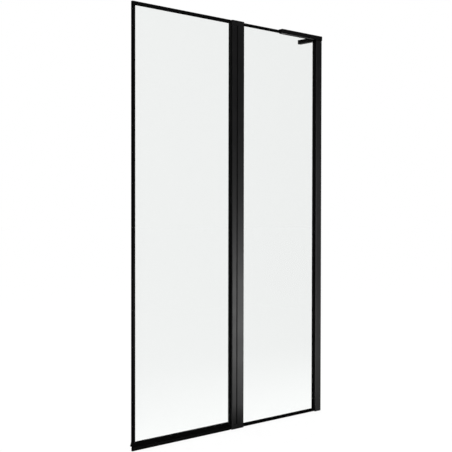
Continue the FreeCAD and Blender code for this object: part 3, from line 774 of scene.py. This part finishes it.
def both_sides(half):
    """A section line that goes in on one side of the glass and comes back on the other."""
    return half + [(-across, depth) for across, depth in reversed(half)]


def is_closed(mesh):
    """True if every edge of a bmesh joins two faces."""
    return all(edge.is_manifold for edge in mesh.edges)


trial = bmesh.new()
trial_line = both_sides([(TRIAL_SIDE, 0), (TRIAL_SIDE, TRIAL_SIDE)])
add_strip(trial, trial_line, level(0), (TRIAL_SIDE, 0, 0), TRIAL_WALL, TRIAL_WALL)
print("trial strip:", len(trial.faces), "faces, closed:", is_closed(trial))
trial.free()

# %% [markdown]
# ## A finished piece
#
# Each new piece becomes an object at the origin, with its place in its mesh, as the solids have
# it. It rides on one of the two bodies and stands for the solid that it replaces, which is hidden.
# Soft shading up to 40 degrees keeps roundings smooth and folds crisp.

# %% Make a piece of a bmesh
SMOOTH_UNDER = math.radians(40)


def finish_piece(name, mesh, body, finish, node):
    """Makes a piece of a bmesh: it rides on a body and stands for a solid."""
    piece = bpy.data.objects.new(name, bpy.data.meshes.new(name))
    print(name + ":", len(mesh.faces), "faces, closed:", is_closed(mesh))
    mesh.to_mesh(piece.data)
    mesh.free()
    piece.data.shade_smooth()
    piece.data.set_sharp_from_angle(angle=SMOOTH_UNDER)
    piece.data.materials.append(finish)
    scene.collection.objects.link(piece)
    dark_solids.objects.link(piece)
    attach(piece, body)
    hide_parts(node)


def corners(node):
    """A solid's lowest and highest corners at rest."""
    low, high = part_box(node)
    return Vector(low), Vector(high)


# %% [markdown]
# ## Gaskets of the fixed pane
#
# Glass never touches metal. A U-shaped gasket wraps each edge of a pane inside its trim, and a
# small lip at each side closes the trim's mouth against the glass. The lip is what shows: a fine
# soft line between the metal and the glass. It could be a bump on the trim, but then the glass
# would seem to stand in the bare metal, so the whole U is drawn, all the way round.

# %% Gaskets of the fixed pane
GASKET_ARM = 2.95 * MM
GASKET_LIP = 3.7 * MM
LIP_DROP = 0.5 * MM
GASKET_WALL = 0.4 * MM
GASKET_ROUND = 0.25 * MM


def add_gasket(mesh, mouth, seat, way, start, end):
    """Adds a U from its seat in the trim to the two lips outside the trim's mouth."""
    lip = mouth - math.copysign(LIP_DROP, seat - mouth)
    line = both_sides([(GASKET_LIP, lip), (GASKET_ARM, mouth), (GASKET_ARM, seat)])
    reach = (end - start, 0, 0) if way is level else (0, 0, end - start)
    add_strip(mesh, line, way(start), reach, GASKET_WALL, GASKET_ROUND)


low, high = corners("fixed_glazing_gaskets")
pane_low, pane_high = corners("fixed_glass")
stile_low, stile_high = corners("wall_stile")
post_edge = corners("hinge_post")[1].x
top_edge = corners("fixed_top_trim")[0].z
bottom_edge = corners("fixed_bottom_trim")[1].z
fixed_gaskets = bmesh.new()
add_gasket(fixed_gaskets, top_edge, high.z, level, post_edge, pane_high.x)
add_gasket(fixed_gaskets, bottom_edge, low.z, level, post_edge, stile_low.x)
add_gasket(fixed_gaskets, stile_low.x, high.x, upright, pane_low.z, stile_high.z)
add_gasket(fixed_gaskets, post_edge, low.x, upright, pane_low.z, pane_high.z)
finish_piece(
    "fixed_pane_gaskets", fixed_gaskets, "frame", rubber, "fixed_glazing_gaskets"
)

# %% [markdown]
# ## Gaskets of the swinging pane
#
# The top and the free edge have the same gasket. Beside the stile the picture shows a dull black
# band without the coat's sheen: there the gasket comes out of its slot, folds round the stile's
# slim lip and covers it on both sides, so no metal shows. Above the stile's end it is narrower,
# because it has to turn past the cap there. Its line is drawn on the skin, so that its wall grows
# towards the metal.

# %% Gaskets of the swinging pane
FIT_CLEAR = 0.05 * MM
CLIP_ROUND = 0.45 * MM

low, high = corners("swing_glazing_gaskets")
pane_high = corners("swing_glass")[1]
top_edge = corners("swing_top_trim")[0].z
free_edge = corners("free_edge_trim")[1].x
lip_edge = corners("hinge_stile")[0].x
lip_face = corners("swing_top_trim")[1].y
plug_low, plug_high = corners("stile_top_plug")
skin_out = lip_face + FIT_CLEAR + GASKET_WALL
skin_in = GASKET_ARM - GASKET_WALL
skin_edge = lip_edge - FIT_CLEAR - GASKET_WALL
skin_seat = high.x - GASKET_WALL


def add_clip(mesh, lap_end, start, end):
    """Adds a gasket from its seat, out of the slot, round the lip and back as far as lap_end."""
    lap = lap_end - FIT_CLEAR
    half = [(skin_out, lap), (skin_out, skin_edge), (skin_in, skin_edge), (skin_in, skin_seat)]
    rise = (0, 0, end - start)
    add_strip(mesh, both_sides(half), upright(start), rise, GASKET_WALL, CLIP_ROUND)


side_top = top_edge - 2 * LIP_DROP
swing_gaskets = bmesh.new()
add_gasket(swing_gaskets, top_edge, high.z, level, low.x, pane_high.x)
add_gasket(swing_gaskets, free_edge, low.x, upright, low.z, side_top)
add_clip(swing_gaskets, plug_low.x, low.z, plug_high.z)
add_clip(swing_gaskets, pane_high.x, plug_high.z + FIT_CLEAR, side_top)
finish_piece(
    "swing_pane_gaskets",
    swing_gaskets,
    "swing_panel",
    rubber,
    "swing_glazing_gaskets",
)

# %% [markdown]
# ## The wiper
#
# Under the swinging pane hangs a soft hollow bulb. A T on its top slides into the carrier's
# groove, and the bulb flattens a little on the rim of the bath and keeps the water in. A short
# neck leaves the dark line that shows between the carrier and the bulb. Bulb, neck and T could be
# three pieces, but they come out of one die, so one closed line draws them all.

# %% Wiper with its bulb and T
BULB_CHAMFER = 1.6 * MM
NECK_HALF = 0.9 * MM
NECK_HEIGHT = 1.3 * MM
HEAD_HALF = 1.9 * MM
HEAD_HEIGHT = 0.9 * MM
WIPER_WALL = 0.8 * MM
WIPER_ROUND = 0.3 * MM

low, high = corners("wiper_blade")
shoulder = corners("seal_carrier")[0].z - NECK_HEIGHT
head_low = high.z - HEAD_HEIGHT
wiper_line = [
    (low.y, shoulder),
    (low.y, low.z + BULB_CHAMFER),
    (low.y + BULB_CHAMFER, low.z),
    (high.y - BULB_CHAMFER, low.z),
    (high.y, low.z + BULB_CHAMFER),
    (high.y, shoulder),
    (NECK_HALF, shoulder),
    (NECK_HALF, head_low),
    (HEAD_HALF, head_low),
    (HEAD_HALF, high.z),
    (-HEAD_HALF, high.z),
    (-HEAD_HALF, head_low),
    (-NECK_HALF, head_low),
    (-NECK_HALF, shoulder),
]
run = (high.x - low.x, 0, 0)
wiper = bmesh.new()
add_strip(wiper, wiper_line, level(low.x), run, WIPER_WALL, WIPER_ROUND, ring=True)
finish_piece("wiper_bulb", wiper, "swing_panel", rubber, "wiper_blade")

# %% [markdown]
# ## The gap seal
#
# A seal in the post closes the gap to the swinging stile. Its foot is pressed into a slot in the
# post, and a thin fin with a round bead leans out until the bead presses on the stile. The solid
# stops short of the stile, because it can't give as rubber does, but here no light may pass. Foot,
# fin and bead have walls of their own, so each is a strip.

# %% Gap seal with foot, fin and bead
SEAL_PRESS = 0.1 * MM
SEAL_WALL = 0.5 * MM
FOOT_ROUND = 0.2 * MM
BEAD = 0.9 * MM
BEAD_WALL = 0.2 * MM
FIN_ROUND = 1.2 * MM

low, high = corners("hinge_gap_seal")
tip = corners("hinge_stile")[1].x - SEAL_PRESS
foot_face = corners("hinge_post")[0].x + FIT_CLEAR
foot_back = high.x - FIT_CLEAR
foot_near, foot_far = low.y + FIT_CLEAR, high.y - FIT_CLEAR
bead_near, bead_far = low.y, low.y + BEAD
fin_middle = (low.y + high.y) / 2
foot_line = [
    (foot_near, foot_back),
    (foot_far, foot_back),
    (foot_far, foot_face),
    (foot_near, foot_face),
]
bead_line = [(bead_near, tip), (bead_far, tip), (bead_far, tip + BEAD), (bead_near, tip + BEAD)]
fin_line = [
    (fin_middle, foot_face),
    (fin_middle, (foot_face + tip) / 2),
    (bead_far, tip + BEAD / 2),
]
rise = (0, 0, high.z - low.z)
gap_seal = bmesh.new()
add_strip(gap_seal, foot_line, upright(low.z), rise, SEAL_WALL, FOOT_ROUND, ring=True)
add_strip(gap_seal, fin_line, upright(low.z), rise, SEAL_WALL, FIN_ROUND)
add_strip(gap_seal, bead_line, upright(low.z), rise, BEAD_WALL, BEAD / 3, ring=True)
finish_piece("gap_seal_fin", gap_seal, "frame", rubber, "hinge_gap_seal")

# %% [markdown]
# ## The stabiliser's liner
#
# The stabiliser sits astride the fixed pane's trim, with a thin rubber saddle between them so that
# the grub screws can clamp it without a scratch. Its edges turn out a little under the rail. It is
# a U as the gaskets are, so it is drawn in the same way.

# %% Liner under the stabiliser
LINER_WALL = 0.2 * MM
LINER_FLARE = 0.5 * MM
LINER_DROP = 0.3 * MM
LINER_ROUND = 0.15 * MM

low, high = corners("stabiliser_liner")
side, roof = high.y - FIT_CLEAR, high.z - FIT_CLEAR
liner_line = both_sides([(side + LINER_FLARE, low.z - LINER_DROP), (side, low.z), (side, roof)])
run = (high.x - low.x, 0, 0)
liner = bmesh.new()
add_strip(liner, liner_line, level(low.x), run, LINER_WALL, LINER_ROUND)
finish_piece("stabiliser_saddle", liner, "frame", rubber, "stabiliser_liner")

# %% [markdown]
# ## Screws
#
# A screw is known by its drive. The cap screws and the grub screws have a hexagon socket, the
# screws of the end plugs a cross. A recess could be cut with a boolean, but that leaves long thin
# faces. So a ring for the head and a ring for the recess are bridged to make the face of the head,
# and then each ring is drawn down: one to the recess's floor, one to the shank.

# %% A screw with a drive recess
HEAD_SIDES = 32
RECESS_TAPER = 0.9
SHANK = 2.0 * MM
SCREW_LENGTH = 16.0 * MM
FLAT_HEAD = dict(head=3.6 * MM, cone=1.6 * MM)
HEXAGON = dict(drive=1.5 * MM, sink=1.4 * MM, sides=6, waist=1.0)


def draw_down(mesh, ring, drop, widen=1.0):
    """Draws a ring of edges down by a drop, wider or narrower, and gives the new ring."""
    drawn = bmesh.ops.extrude_edge_only(mesh, edges=ring)["geom"]
    points = [part for part in drawn if isinstance(part, bmesh.types.BMVert)]
    bmesh.ops.scale(mesh, verts=points, vec=(widen, widen, 1))
    bmesh.ops.translate(mesh, verts=points, vec=(0, 0, -drop))
    return [part for part in drawn if isinstance(part, bmesh.types.BMEdge)]


def add_screw(mesh, place, length, head, cone, drive, sink, sides, waist):
    """Adds a screw with its head at the top, and moves it to its place."""
    screw = bmesh.new()
    bmesh.ops.create_circle(screw, segments=HEAD_SIDES, radius=head)
    head_ring = screw.edges[:]
    recess = bmesh.ops.create_circle(screw, segments=sides, radius=drive)["verts"]
    recess_ring = [edge for edge in screw.edges if edge not in head_ring]
    for inner in recess[::2]:
        inner.co *= waist
    bmesh.ops.bridge_loops(screw, edges=head_ring + recess_ring)
    floor_ring = draw_down(screw, recess_ring, sink, RECESS_TAPER)
    neck_ring = draw_down(screw, head_ring, cone, SHANK / head)
    tip_ring = draw_down(screw, neck_ring, length - cone)
    bmesh.ops.contextual_create(screw, geom=floor_ring)
    bmesh.ops.contextual_create(screw, geom=tip_ring)
    bmesh.ops.recalc_face_normals(screw, faces=screw.faces)
    bmesh.ops.transform(screw, matrix=place, verts=screw.verts)
    join_to(mesh, screw)


trial = bmesh.new()
add_screw(trial, Matrix(), SCREW_LENGTH, **FLAT_HEAD, **HEXAGON)
print("trial screw:", len(trial.faces), "faces, closed:", is_closed(trial))
trial.free()

# %% [markdown]
# ## Cap, plug and grub screws
#
# One flat head screw holds each hinge cap on the post, one holds each end plug in the stile, and
# two grub screws clamp the stabiliser's rail. They differ only in their heads, lengths, drives and
# the way that they face, so one function makes all six.

# %% Cap screws
FACE_DOWN = Matrix.Rotation(math.pi, 4, "X")

low, high = corners("hinge_cap_screws")
middle = (low + high) / 2
top_place = Matrix.Translation((middle.x, middle.y, high.z))
bottom_place = Matrix.Translation((middle.x, middle.y, low.z)) @ FACE_DOWN
cap_screws = bmesh.new()
for place in (top_place, bottom_place):
    add_screw(cap_screws, place, SCREW_LENGTH, **FLAT_HEAD, **HEXAGON)
finish_piece(
    "cap_socket_screws", cap_screws, "frame", black_steel, "hinge_cap_screws"
)

# %% Plug screws
CROSS = dict(drive=2.0 * MM, sink=1.3 * MM, sides=8, waist=0.36)
FACE_TO_WALL = Matrix.Rotation(math.pi / 2, 4, "Y")

low, high = corners("stile_plug_screws")
middle = (low + high) / 2
head = FLAT_HEAD["head"]
plug_screws = bmesh.new()
for height in (low.z + head, high.z - head):
    place = Matrix.Translation((high.x, middle.y, height)) @ FACE_TO_WALL
    add_screw(plug_screws, place, SCREW_LENGTH / 2, **FLAT_HEAD, **CROSS)
finish_piece(
    "plug_cross_screws",
    plug_screws,
    "swing_panel",
    black_steel,
    "stile_plug_screws",
)

# %% Grub screws
# A grub screw has no head: its face is as wide as its shank.
GRUB_FACE = dict(head=SHANK, cone=0.3 * MM)
SMALL_HEXAGON = dict(drive=1.15 * MM, sink=2.0 * MM, sides=6, waist=1.0)

low, high = corners("stabiliser_grub_screws")
middle = (low + high) / 2
grub_screws = bmesh.new()
for along in (low.x + SHANK, high.x - SHANK):
    place = Matrix.Translation((along, middle.y, high.z))
    add_screw(grub_screws, place, high.z - low.z, **GRUB_FACE, **SMALL_HEXAGON)
finish_piece(
    "grub_socket_screws",
    grub_screws,
    "frame",
    black_steel,
    "stabiliser_grub_screws",
)

# %% [markdown]
# ## Screw covers
#
# Small nylon caps snap over the screws on the bath side and over the leg's wall screws. A plain
# disc would do from afar, but a moulded cap is a cup. So a cylinder has its rim rounded, its face
# dished a little, as moulded faces sink, its floor taken away, and then gets a wall.

# %% Covers on the bath side
COVER_WALL = 0.8 * MM
COVER_DISH = 0.25 * MM
SIDE_RIM = 1.3 * MM
FACE_TO_BATH = Matrix.Rotation(-math.pi / 2, 4, "X")


def add_cover(mesh, place, radius, height, rim):
    """Adds a hollow round cover with a rounded rim and a dished face, and puts it in place."""
    cover = bmesh.new()
    bmesh.ops.create_cone(
        cover, cap_ends=True, segments=HEAD_SIDES, radius1=radius, radius2=radius, depth=height
    )
    bmesh.ops.translate(cover, verts=cover.verts, vec=(0, 0, height / 2))
    floor_face = [face for face in cover.faces if face.normal.z < -LEVEL_SHARE]
    bmesh.ops.delete(cover, geom=floor_face, context="FACES_ONLY")
    face = next(face for face in cover.faces if face.normal.z > LEVEL_SHARE)
    bmesh.ops.bevel(
        cover, geom=face.edges[:], offset=rim, segments=4, profile=0.5, affect="EDGES", material=-1
    )
    face = max(cover.faces, key=lambda each: each.calc_center_median().z)
    bmesh.ops.inset_individual(cover, faces=[face], thickness=(radius - rim) / 3)
    bmesh.ops.inset_individual(cover, faces=[face], thickness=COVER_DISH, depth=-COVER_DISH)
    bmesh.ops.recalc_face_normals(cover, faces=cover.faces)
    bmesh.ops.solidify(cover, geom=cover.faces[:], thickness=COVER_WALL)
    bmesh.ops.transform(cover, matrix=place, verts=cover.verts)
    join_to(mesh, cover)


low, high = corners("profile_screw_covers")
middle = (low + high) / 2
radius = (high.x - low.x) / 2
screw_covers = bmesh.new()
for height in (low.z + radius, middle.z, high.z - radius):
    place = Matrix.Translation((middle.x, low.y, height)) @ FACE_TO_BATH
    add_cover(screw_covers, place, radius, high.y - low.y, SIDE_RIM)
finish_piece(
    "side_screw_covers", screw_covers, "frame", nylon, "profile_screw_covers"
)

# %% Covers on the leg
LEG_RIM = 0.5 * MM
FACE_OFF_WALL = Matrix.Rotation(-math.pi / 2, 4, "Y")

low, high = corners("stabiliser_leg_covers")
middle = (low + high) / 2
radius = (high.z - low.z) / 2
leg_covers = bmesh.new()
for along in (low.y + radius, high.y - radius):
    place = Matrix.Translation((high.x, along, middle.z)) @ FACE_OFF_WALL
    add_cover(leg_covers, place, radius, high.x - low.x, LEG_RIM)
finish_piece(
    "leg_screw_covers", leg_covers, "frame", nylon, "stabiliser_leg_covers"
)
